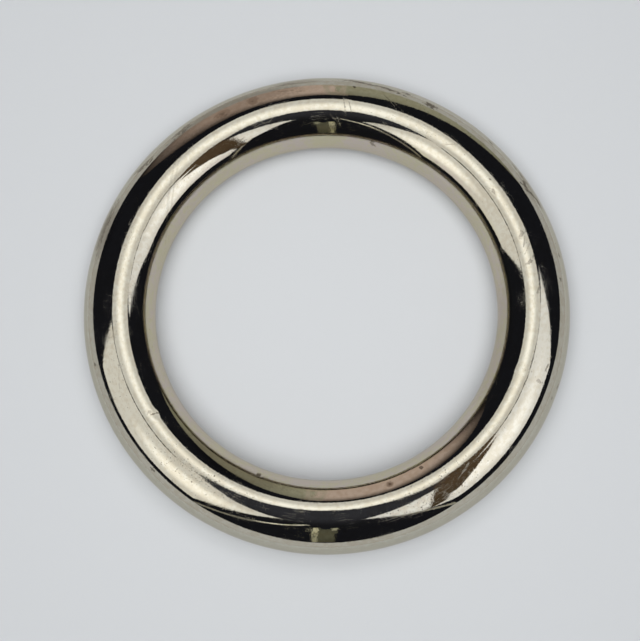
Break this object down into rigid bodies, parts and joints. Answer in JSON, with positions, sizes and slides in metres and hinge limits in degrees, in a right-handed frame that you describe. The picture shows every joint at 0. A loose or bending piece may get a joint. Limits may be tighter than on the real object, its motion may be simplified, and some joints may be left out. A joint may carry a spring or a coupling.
{
  "type": "metal o-ring",
  "caption": "Closed round ring of thick polished nickel-plated bar, for joining straps, webbing, cords or chain at a point.",
  "frame": {"origin": "centre of the ring, on its axis and half way up the bar", "axes": "+Z along the ring's axis, out of the side that faces up as it lies flat; the ring lies in the XY plane"},
  "size_m": [0.054, 0.054, 0.008],
  "materials": {
    "nickel_plate": "polished nickel plate, warm silver, with fine handling scratches, specks and small nicks"
  },
  "bodies": {
    "root": {"ring": "nickel_plate"}
  },
  "joints": []
}
